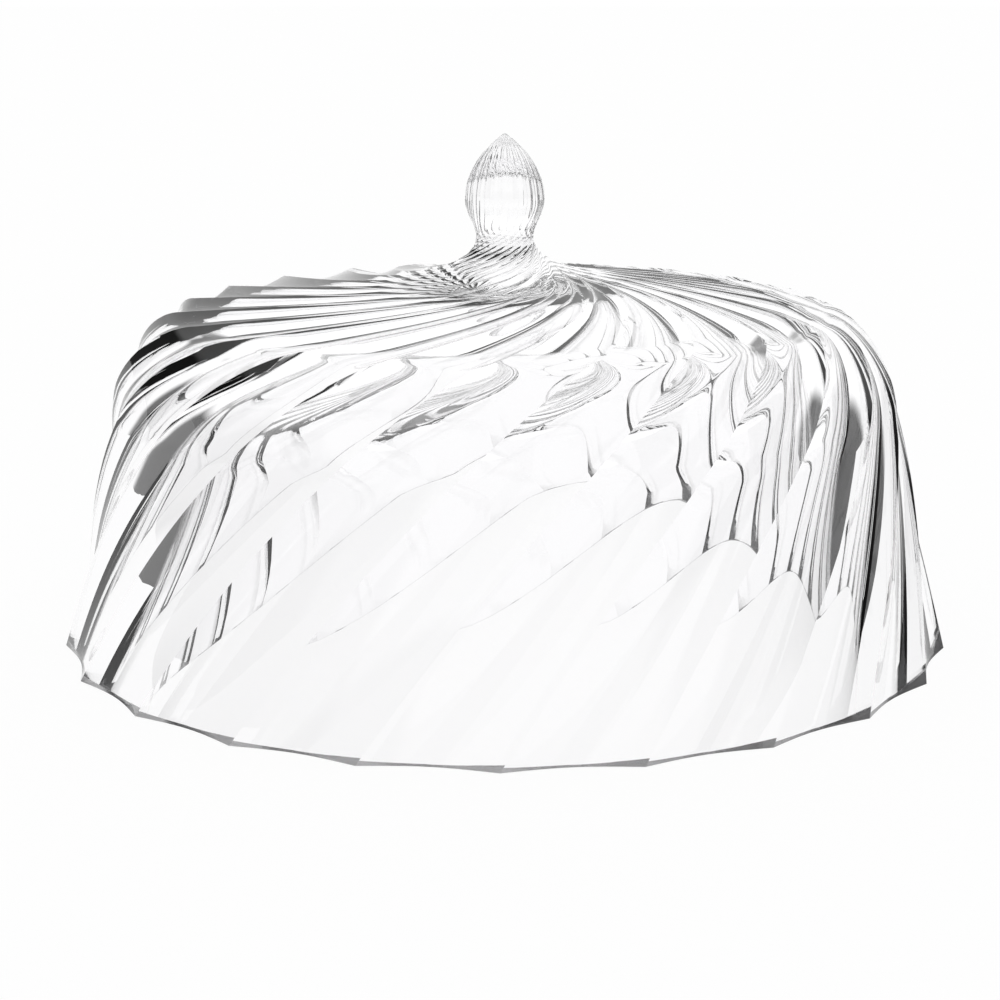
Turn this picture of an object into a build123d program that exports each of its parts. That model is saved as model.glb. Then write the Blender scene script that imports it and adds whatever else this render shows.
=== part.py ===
from build123d import *
import os
from collections import namedtuple
from itertools import accumulate
from math import cos, degrees, hypot, radians, sin, tan

# A clear cake dome: a fluted bell, open below, with a fluted finial bonded into its neck.
# The origin is the centre of the rim plane and +Z runs up through the finial.
# Lengths are in millimetres and angles in degrees.

# Flutes: hollows that meet in sharp crests and swirl up the whole outside.
# Each is a fan of ruled strips between rails that run from end to end.
flute_count = 22
flute_depth = 4.0
first_crest = -90.6
bell_strips = 3
finial_strips = 2

# Outline of the bell up the crests: the rim, the top of the wall, the foot of the crown and the
# neck. A tilt is inward from the upright, and a hold is how far a curve keeps to it.
rim_radius = 150.0
rim_tilt = 15.9
rim_hold = 29.2
wall_reach = 18.3
shoulder_height = 84.3
wall_tilt = 12.5
wall_hold = 29.3
shoulder_foot_hold = 12.7
shoulder_reach = 23.6
shoulder_rise = 28.7
crown_tilt = 81.4
shoulder_head_hold = 10.5
crown_hold = 54.3
crown_rise = 23.6
neck_radius = 9.6
neck_foot_hold = 15.3

# Outline of the finial up the crests: the neck, the widest of the bulb and the blunted tip.
neck_head_hold = 3.8
bulb_radius = 13.3
bulb_height = 12.7
bulb_foot_hold = 5.9
bulb_head_hold = 7.8
tip_radius = 0.4
tip_height = 21.3
tip_tilt = 54.7
tip_hold = 9.7

# Lean of the flutes away from the upright, at the ends of each curve of the outline.
rim_lean = 32.0
wall_lean = 45.0
shoulder_lean = 51.0
crown_lean = 34.0
neck_lean = 46.0
bulb_lean = 0.0

# Inside of the bell: a plain core with its own draft, and a level boss under the neck.
# The two thicknesses are of the glass behind the deepest line of a flute, at the rim and where
# the crown begins.
rim_thickness = 2.3
crown_thickness = 2.6
core_draft = 12.7
core_bevel = 20.0
core_bevel_hollow = 5.0
boss_radius = 40.0
boss_thickness = 18.0

# Bonded joint: a round spigot under the finial sits in a blind socket in the neck.
spigot_radius = 5.0
spigot_length = 8.0
spigot_lead_in = 0.6
socket_clearance = 0.1
socket_end_gap = 0.5

flute_pitch = 360 / flute_count

Station = namedtuple("Station", "radius height inward swirl")


def toward(place, tilt, distance):
    """The place at a distance from another, at a tilt inward from the upright."""
    return (place[0] - distance * sin(radians(tilt)), place[1] + distance * cos(radians(tilt)))


def span(start, start_tilt, start_hold, end, end_tilt, end_hold):
    """A curve of the outline that leaves one place and reaches the next at the given tilts."""
    leaving = toward(start, start_tilt, start_hold)
    reaching = toward(end, end_tilt, -end_hold)
    return Bezier(start, leaving, reaching, end)


def stations_along(spans, swirl):
    """Stations up the spans, each a curve, a count, and the lean of the flutes at its two ends."""
    stations = []
    for curve, count, lean_below, lean_above in spans:
        for step in range(1 if stations else 0, count + 1):
            point = curve @ (step / count)
            along = curve % (step / count)
            if stations:
                last = stations[-1]
                travel = hypot(point.X - last.radius, point.Z - last.height)
                lean = lean_below + (lean_above - lean_below) * (step - 0.5) / count
                swirl += degrees(tan(radians(lean)) * travel * 2 / (point.X + last.radius))
            stations.append(Station(point.X, point.Z, (-along.Z, along.X), swirl))
    # The two ends are cut square, so there the flutes go level into the glass.
    for end in (0, -1):
        stations[end] = stations[end]._replace(inward=(-1.0, 0.0))
    return stations


def depth_at(radius):
    """Crest to valley: the flutes grow shallower as they grow narrower."""
    return flute_depth * radius / rim_radius


def skin_point(station, phase, share):
    """A point of the skin: phase counts flutes round the axis, share is part of the full depth."""
    depth = share * depth_at(station.radius)
    angle = radians(first_crest + station.swirl + phase * flute_pitch)
    radius = station.radius + station.inward[0] * depth
    height = station.height + station.inward[1] * depth
    return Vector(radius * cos(angle), radius * sin(angle), height)


def fluted_blank(stations, strips):
    """A solid block whose skin is one flute, lofted strip by strip and repeated round the axis."""
    crest = [skin_point(station, 0, 0) for station in stations]
    steps = [(above - below).length for below, above in zip(crest, crest[1:])]
    marks = list(accumulate(steps, initial=0.0))
    rails = []
    for phase in (index / strips for index in range(strips + 1)):
        points = [skin_point(station, phase, 4 * phase * (1 - phase)) for station in stations]
        rails.append(Wire([Edge.make_spline(points, parameters=marks)]))
    flute = Shell.make_loft(rails, ruled=True).faces()
    skin = [
        face.rotate(Axis.Z, index * flute_pitch)
        for index in range(flute_count)
        for face in flute
    ]
    edges = ShapeList(edge for face in skin for edge in face.edges())
    foot = edges.group_by(Axis.Z)[0]
    head = edges.group_by(Axis.Z)[-1]
    return Solid(Shell(skin + [Face(Wire(foot)), Face(Wire(head))]))


# Outline of the bell and of the finial, followed along the crests.

rim = (rim_radius, 0)
wall_top = (rim_radius - wall_reach, shoulder_height)
crown_foot = (wall_top[0] - shoulder_reach, shoulder_height + shoulder_rise)
neck = (neck_radius, crown_foot[1] + crown_rise)
bulb = (bulb_radius, neck[1] + bulb_height)
tip = (tip_radius, bulb[1] + tip_height)

with BuildLine(Plane.XZ):
    wall = span(rim, rim_tilt, rim_hold, wall_top, wall_tilt, wall_hold)
    shoulder = span(wall_top, wall_tilt, shoulder_foot_hold, crown_foot, crown_tilt, shoulder_head_hold)
    crown = span(crown_foot, crown_tilt, crown_hold, neck, 0, neck_foot_hold)
    lower_knob = span(neck, 0, neck_head_hold, bulb, 0, bulb_foot_hold)
    upper_knob = span(bulb, 0, bulb_head_hold, tip, tip_tilt, tip_hold)

bell_stations = stations_along(
    [
        (wall, 5, rim_lean, wall_lean),
        (shoulder, 4, wall_lean, shoulder_lean),
        (crown, 9, crown_lean, neck_lean),
    ],
    0,
)
finial_stations = stations_along(
    [(lower_knob, 3, neck_lean, bulb_lean), (upper_knob, 5, bulb_lean, bulb_lean)],
    bell_stations[-1].swirl,
)

# Inside of the bell: the core's side rises from the rim and meets its sloping top in a corner.

core_rim = (rim_radius - flute_depth - rim_thickness, 0)
core_crown = (crown_foot[0], crown_foot[1] - depth_at(crown_foot[0]) - crown_thickness)
core_boss = (boss_radius, neck[1] - boss_thickness)
draft_slope = tan(radians(core_draft))
top_slope = (core_boss[1] - core_crown[1]) / (core_crown[0] - core_boss[0])
corner_height = (core_boss[1] + top_slope * (core_boss[0] - core_rim[0])) / (
    1 - top_slope * draft_slope
)
core_corner = Vector(core_rim[0] - draft_slope * corner_height, corner_height)
up_side = (core_corner - Vector(*core_rim)).normalized()
along_top = (Vector(*core_boss) - core_corner).normalized()
core_bevels = [
    core_corner - up_side * core_bevel,
    core_corner + (along_top - up_side).normalized() * core_bevel_hollow,
    core_corner + along_top * core_bevel,
]

# Bell: the fluted block, hollowed by a smooth core, with a socket in the neck.

with BuildPart() as dome_shell:
    add(fluted_blank(bell_stations, bell_strips))
    with BuildSketch(Plane.XZ):
        with BuildLine():
            Polyline(core_rim, *core_bevels, core_boss, (0, core_boss[1]), (0, 0), core_rim)
        make_face()
    revolve(axis=Axis.Z, mode=Mode.SUBTRACT)
    with Locations(Plane.XY.offset(neck[1])):
        Hole(spigot_radius + socket_clearance, spigot_length + socket_end_gap)
dome_shell.part.label = "dome_shell"

# Finial: a solid fluted knob on its spigot.

with BuildPart() as finial:
    add(fluted_blank(finial_stations, finial_strips))
    with BuildSketch(Plane.XY.offset(neck[1])):
        Circle(spigot_radius)
    extrude(amount=-spigot_length)
    chamfer(finial.edges().filter_by(GeomType.CIRCLE).sort_by(Axis.Z)[0], spigot_lead_in)
finial.part.label = "finial"

os.makedirs("parts", exist_ok=True)
for piece in (dome_shell, finial):
    export_step(piece.part, f"parts/{piece.part.label}.step")
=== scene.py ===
import math

import bpy
import numpy as np
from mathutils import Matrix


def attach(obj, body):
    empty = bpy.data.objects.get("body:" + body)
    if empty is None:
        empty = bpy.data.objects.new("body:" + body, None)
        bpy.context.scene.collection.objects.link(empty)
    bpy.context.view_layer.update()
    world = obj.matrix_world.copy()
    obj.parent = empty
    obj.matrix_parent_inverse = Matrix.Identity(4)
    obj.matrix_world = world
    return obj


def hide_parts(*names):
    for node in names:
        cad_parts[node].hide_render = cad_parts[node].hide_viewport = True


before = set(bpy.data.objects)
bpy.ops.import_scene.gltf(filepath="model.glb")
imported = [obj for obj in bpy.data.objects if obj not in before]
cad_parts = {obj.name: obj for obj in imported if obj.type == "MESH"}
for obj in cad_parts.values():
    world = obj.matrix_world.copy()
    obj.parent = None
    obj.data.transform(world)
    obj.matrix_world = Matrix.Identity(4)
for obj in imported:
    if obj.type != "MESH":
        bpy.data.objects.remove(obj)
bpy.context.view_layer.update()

MM = 0.001

# Flutes and crest outline, as in the part, in millimetres and degrees --------------------------

FLUTES = 22
FLUTE_DEPTH = 4.0
FIRST_CREST = -90.6
RIM_RADIUS = 150.0
RIM = (RIM_RADIUS, 0.0)
WALL_TOP = (131.7, 84.3)
SHOULDER_TOP = (108.1, 113.0)
NECK = (9.6, 136.6)
BULB = (13.3, 149.3)
TIP = (0.4, 170.6)

WALL_SPAN = (RIM, (142.0, 28.0), (138.0, 55.8), WALL_TOP)
SHOULDER_SPAN = (WALL_TOP, (128.9, 96.7), (118.5, 111.4), SHOULDER_TOP)
CROWN_SPAN = (SHOULDER_TOP, (54.4, 121.2), (9.6, 121.3), NECK)
BULB_SPAN = (NECK, (9.6, 140.4), (13.3, 143.4), BULB)
CONE_SPAN = (BULB, (13.3, 157.1), (8.3, 165.0), TIP)

# Cubic spans up the crests: each is its four control points, the number of steps along it, and
# the lean of the flutes away from the upright at its two ends.
BELL_SPANS = (
    (WALL_SPAN, 60, 32.0, 45.0),
    (SHOULDER_SPAN, 30, 45.0, 51.0),
    (CROWN_SPAN, 90, 34.0, 46.0),
)
FINIAL_SPANS = (
    (BULB_SPAN, 24, 46.0, 0.0),
    (CONE_SPAN, 40, 0.0, 0.0),
)

# Across a flute: how round its valley is, in half flutes, and how finely it is drawn.
VALLEY_ROUNDNESS = 1.0
STEPS_PER_FLUTE = 14
RING_POINTS = FLUTES * STEPS_PER_FLUTE

# Inside of the bell: a drafted wall, and rounds into the shoulder's slope and the level boss.
CORE_RIM = (143.7, 0.0)
CORE_CORNER = (119.9, 105.7)
CORE_CORNER_ROUND = 45.0
CORE_CORNER_STEPS = 24
CORE_BOSS = (40.0, 118.6)
CORE_BOSS_ROUND = 90.0
CORE_BOSS_STEPS = 10

# Joint at the neck: the finial's spigot and the bell's blind socket.
SOCKET_RADIUS = 5.1
SOCKET_DEPTH = 8.5
SPIGOT_RADIUS = 5.0
SPIGOT_LENGTH = 8.0
SPIGOT_LEAD_IN = 0.6

# Looks -----------------------------------------------------------------------------------------

# Material slots of both pieces, in the order in which they're appended.
GLASS, BOND, RIM_FACE = 0, 1, 2

# Edges that turn by more than this stay crisp: the crests, the rim and the joint.
SHARP_ANGLE = 12

CLEAR_IOR = 1.49
CLEAR_TINT = (0.993, 0.991, 0.997, 1)
# The rim face's near-black tint is painted shade, put there for the dark line along the rim; only
# its roughness is the ground finish.
RIM_PAINTED_DARK = (0.1, 0.1, 0.105, 1)
RIM_ROUGHNESS = 0.4
RIM_TRANSMISSION = 0.4

# Floor, in metres; its glow is the share that shines and isn't lit.
FLOOR_SIZE = 12
FLOOR_DROP = 0.0002
FLOOR_TONE = (0.9, 0.9, 0.9, 1)
FLOOR_GLOW = 0.94

# Light as the glass sees it, by direction. Lights are shares of white, and edges and blurs are
# along the parts of the unit direction. Dark flags stand at both sides, up to a height. The
# room behind the camera is dimmer than what's ahead, and a softbox is over everything.
FLAG_EDGE = 0.62
FLAG_BLUR = 0.12
FLAG_LIGHT = 0.12
FLAG_TOP = 0.45
ROOM_BLUR = 0.25
ROOM_LIGHT = 0.7
SOFTBOX_FOOT = 0.22
SOFTBOX_BLUR = 0.03
SOFTBOX_LIGHT = 1.1

# Camera, solved from the ellipse of the rim, in metres, millimetres of lens and degrees down.
CAMERA_PLACE = (-0.0016, -0.8349, 0.2414)
CAMERA_SENSOR = 36.0
CAMERA_LENS = 90.1
CAMERA_DOWN = 13.18
CAMERA_CLIP = 0.01

# Shapes ----------------------------------------------------------------------------------------


def cubic(points, share):
    """Place and direction on a cubic span."""
    p0, p1, p2, p3 = (np.array(p) for p in points)
    s = share
    place = (1 - s) ** 3 * p0 + 3 * (1 - s) ** 2 * s * p1 + 3 * (1 - s) * s * s * p2 + s**3 * p3
    along = 3 * (1 - s) ** 2 * (p1 - p0) + 6 * (1 - s) * s * (p2 - p1) + 3 * s * s * (p3 - p2)
    return place, along / np.linalg.norm(along)


def stations_along(spans, swirl):
    """Rows of (radius, height, inward radial, inward vertical, swirl in degrees).

    The first and the last row are cut square, so that the flutes there are laid off level.
    """
    rows = []
    for points, count, lean_below, lean_above in spans:
        for step in range(1 if rows else 0, count + 1):
            place, along = cubic(points, step / count)
            if rows:
                travel = math.hypot(place[0] - rows[-1][0], place[1] - rows[-1][1])
                lean = lean_below + (lean_above - lean_below) * (step - 0.5) / count
                turn = math.tan(math.radians(lean)) * travel * 2 / (place[0] + rows[-1][0])
                swirl += math.degrees(turn)
            rows.append([place[0], place[1], -along[1], along[0], swirl])
    for end in (0, -1):
        rows[end][2:4] = [-1.0, 0.0]
    return rows


def hollow(phase):
    """Share of the full depth across a flute: none at the sharp crests, all in the valley."""
    offset = 2 * phase - 1
    rise = math.hypot(offset, VALLEY_ROUNDNESS) - VALLEY_ROUNDNESS
    return 1 - rise / (math.hypot(1, VALLEY_ROUNDNESS) - VALLEY_ROUNDNESS)


def ring_angles(swirl):
    """The angles of a ring's points, in radians; one in STEPS_PER_FLUTE is on a crest."""
    start = FIRST_CREST + swirl
    return [math.radians(start + index * 360 / RING_POINTS) for index in range(RING_POINTS)]


def skin_ring(row):
    """The points of the fluted skin at one station, all the way round, in metres."""
    radius, height, inward_r, inward_z, swirl = row
    depth = FLUTE_DEPTH * radius / RIM_RADIUS
    ring = []
    for index, angle in enumerate(ring_angles(swirl)):
        cut = depth * hollow(index % STEPS_PER_FLUTE / STEPS_PER_FLUTE)
        r = (radius + inward_r * cut) * MM
        ring.append((r * math.cos(angle), r * math.sin(angle), (height + inward_z * cut) * MM))
    return ring


def round_ring(radius, height, swirl=0.0):
    """The points of a plain round at one height, in metres, in step with the flutes."""
    r = radius * MM
    return [(r * math.cos(a), r * math.sin(a), height * MM) for a in ring_angles(swirl)]


def arc_corner(before, corner, after, radius, steps):
    """Points of a round that is tangent to both lines at a corner."""
    p, c, q = (np.array(v) for v in (before, corner, after))
    u, v = (p - c) / np.linalg.norm(p - c), (q - c) / np.linalg.norm(q - c)
    half = math.acos(float(u @ v)) / 2
    reach = radius / math.tan(half)
    centre = c + (u + v) / np.linalg.norm(u + v) * radius / math.sin(half)
    start, end = c + u * reach - centre, c + v * reach - centre
    swing = math.atan2(start[0] * end[1] - start[1] * end[0], float(start @ end))
    points = []
    for step in range(steps + 1):
        turn = swing * step / steps
        cos, sin = math.cos(turn), math.sin(turn)
        points.append(centre + (start[0] * cos - start[1] * sin, start[0] * sin + start[1] * cos))
    return points


def lathe(name, rings, slots, low_end, high_end):
    """An object of rings joined in order and closed on the axis at both ends.

    slots gives each band's material, and an end is its height and its material.
    """
    verts = [v for ring in rings for v in ring]
    faces, bands = [], []
    for row in range(len(rings) - 1):
        for k in range(RING_POINTS):
            a = row * RING_POINTS + k
            b = row * RING_POINTS + (k + 1) % RING_POINTS
            faces.append((a, b, b + RING_POINTS, a + RING_POINTS))
            bands.append(slots[row])
    for ring, (height, slot), flip in ((0, low_end, True), (len(rings) - 1, high_end, False)):
        verts.append((0, 0, height * MM))
        hub = len(verts) - 1
        for k in range(RING_POINTS):
            a, b = ring * RING_POINTS + k, ring * RING_POINTS + (k + 1) % RING_POINTS
            faces.append((b, a, hub) if flip else (a, b, hub))
            bands.append(slot)
    mesh = bpy.data.meshes.new(name)
    mesh.from_pydata(verts, [], faces)
    mesh.polygons.foreach_set("material_index", bands)
    mesh.polygons.foreach_set("use_smooth", [True] * len(faces))
    obj = bpy.data.objects.new(name, mesh)
    bpy.context.scene.collection.objects.link(obj)
    return obj


# Materials -------------------------------------------------------------------------------------


def principled(name, settings):
    """A material with the named inputs of its shader set."""
    mat = bpy.data.materials.new(name)
    mat.use_nodes = True
    shader = mat.node_tree.nodes["Principled BSDF"]
    for socket, setting in settings.items():
        shader.inputs[socket].default_value = setting
    return mat


clear = principled(
    "clear_moulded",
    {"Base Color": CLEAR_TINT, "Roughness": 0.0, "IOR": CLEAR_IOR, "Transmission Weight": 1.0},
)
# Painted shade: the rim face is made near black and partly opaque, so that it shows as a dark
# line.
rim_painted_shade = principled(
    "rim_painted_shade",
    {
        "Base Color": RIM_PAINTED_DARK,
        "Roughness": RIM_ROUGHNESS,
        "IOR": CLEAR_IOR,
        "Transmission Weight": RIM_TRANSMISSION,
    },
)
# The faces of the joint are bonded, so nothing of them is seen.
bond = principled("bond_line", {"Alpha": 0.0})

# Bell and finial -------------------------------------------------------------------------------

bell_rows = stations_along(BELL_SPANS, 0.0)
neck_swirl = bell_rows[-1][4]
finial_rows = stations_along(FINIAL_SPANS, neck_swirl)

core_line = [CORE_RIM]
core_line += arc_corner(CORE_RIM, CORE_CORNER, CORE_BOSS, CORE_CORNER_ROUND, CORE_CORNER_STEPS)
core_line += arc_corner(
    CORE_CORNER, CORE_BOSS, (0.0, CORE_BOSS[1]), CORE_BOSS_ROUND, CORE_BOSS_STEPS
)

rings = [round_ring(r, z) for r, z in reversed(core_line)]
slots = [GLASS] * (len(rings) - 1) + [RIM_FACE]
rings += [skin_ring(row) for row in bell_rows]
slots += [GLASS] * (len(bell_rows) - 1)
rings.append(round_ring(SOCKET_RADIUS, NECK[1], neck_swirl))
rings.append(round_ring(SOCKET_RADIUS, NECK[1] - SOCKET_DEPTH, neck_swirl))
slots += [BOND, BOND]
dome = lathe("fluted_bell", rings, slots, (CORE_BOSS[1], GLASS), (NECK[1] - SOCKET_DEPTH, BOND))

rings = [
    round_ring(SPIGOT_RADIUS - SPIGOT_LEAD_IN, NECK[1] - SPIGOT_LENGTH, neck_swirl),
    round_ring(SPIGOT_RADIUS, NECK[1] - SPIGOT_LENGTH + SPIGOT_LEAD_IN, neck_swirl),
    round_ring(SPIGOT_RADIUS, NECK[1], neck_swirl),
]
slots = [BOND, BOND, BOND]
rings += [skin_ring(row) for row in finial_rows]
slots += [GLASS] * (len(finial_rows) - 1)
knob = lathe("fluted_finial", rings, slots, (NECK[1] - SPIGOT_LENGTH, BOND), (TIP[1], GLASS))

for obj, node, slot_name in (
    (dome, "dome_shell", "clear_bell"),
    (knob, "finial", "clear_finial"),
):
    obj.data.materials.append(clear)
    obj.data.materials.append(bond)
    obj.data.materials.append(rim_painted_shade)
    obj.data.set_sharp_from_angle(angle=math.radians(SHARP_ANGLE))
    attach(obj, "root")
    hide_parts(node)

# Stage -----------------------------------------------------------------------------------------

bpy.ops.mesh.primitive_plane_add(size=FLOOR_SIZE, location=(0, 0, -FLOOR_DROP))
floor = bpy.context.object
floor.name = "floor"


def floor_material():
    """White that mostly shines, so that the floor shows no edge against the world."""
    mat = bpy.data.materials.new("floor_white")
    mat.use_nodes = True
    nodes, links = mat.node_tree.nodes, mat.node_tree.links
    nodes.clear()
    out = nodes.new("ShaderNodeOutputMaterial")
    mix = nodes.new("ShaderNodeMixShader")
    paper = nodes.new("ShaderNodeBsdfDiffuse")
    paper.inputs["Color"].default_value = FLOOR_TONE
    glow = nodes.new("ShaderNodeEmission")
    glow.inputs["Strength"].default_value = 1.0
    mix.inputs["Fac"].default_value = FLOOR_GLOW
    links.new(paper.outputs[0], mix.inputs[1])
    links.new(glow.outputs[0], mix.inputs[2])
    links.new(mix.outputs[0], out.inputs["Surface"])
    return mat


floor.data.materials.append(floor_material())


def studio_world():
    """White to the camera; to light in the glass, a dim room with dark flags and a softbox."""
    world = bpy.data.worlds.new("studio")
    world.use_nodes = True
    nodes, links = world.node_tree.nodes, world.node_tree.links
    nodes.clear()

    def maths(operation, a, b=0.0):
        node = nodes.new("ShaderNodeMath")
        node.operation = operation
        for socket, value in zip(node.inputs, (a, b)):
            if isinstance(value, (int, float)):
                socket.default_value = value
            else:
                links.new(value, socket)
        return node.outputs[0]

    def ramp(value, low, high, below, above):
        node = nodes.new("ShaderNodeMapRange")
        node.interpolation_type = "SMOOTHSTEP"
        links.new(value, node.inputs["Value"])
        settings = ("From Min", low), ("From Max", high), ("To Min", below), ("To Max", above)
        for socket, setting in settings:
            node.inputs[socket].default_value = setting
        return node.outputs["Result"]

    direction = nodes.new("ShaderNodeSeparateXYZ")
    links.new(nodes.new("ShaderNodeTexCoord").outputs["Generated"], direction.inputs[0])
    side, ahead, up = direction.outputs
    flags = ramp(maths("ABSOLUTE", side), FLAG_EDGE, FLAG_EDGE + FLAG_BLUR, 1.0, FLAG_LIGHT)
    over_flags = ramp(up, FLAG_TOP, FLAG_TOP + FLAG_BLUR, 0.0, 1.0)
    sides = maths("MAXIMUM", flags, over_flags)
    room = ramp(ahead, -ROOM_BLUR, 0.0, ROOM_LIGHT, 1.0)
    softbox = ramp(up, SOFTBOX_FOOT, SOFTBOX_FOOT + SOFTBOX_BLUR, 0.0, SOFTBOX_LIGHT)
    front = maths("MAXIMUM", room, softbox)
    strength = maths("MULTIPLY", sides, front)
    seen = nodes.new("ShaderNodeLightPath").outputs["Is Camera Ray"]
    strength = maths("MAXIMUM", strength, seen)
    background = nodes.new("ShaderNodeBackground")
    links.new(strength, background.inputs["Strength"])
    background.inputs["Color"].default_value = (1, 1, 1, 1)
    out = nodes.new("ShaderNodeOutputWorld")
    links.new(background.outputs[0], out.inputs["Surface"])
    return world


bpy.context.scene.world = studio_world()

camera = bpy.data.objects.new("camera", bpy.data.cameras.new("camera"))
bpy.context.scene.collection.objects.link(camera)
camera.data.sensor_width = CAMERA_SENSOR
camera.data.lens = CAMERA_LENS
camera.location = CAMERA_PLACE
camera.rotation_euler = (math.radians(90 - CAMERA_DOWN), 0, 0)
camera.data.clip_start = CAMERA_CLIP
bpy.context.scene.camera = camera
bpy.context.scene.view_settings.view_transform = "Standard"
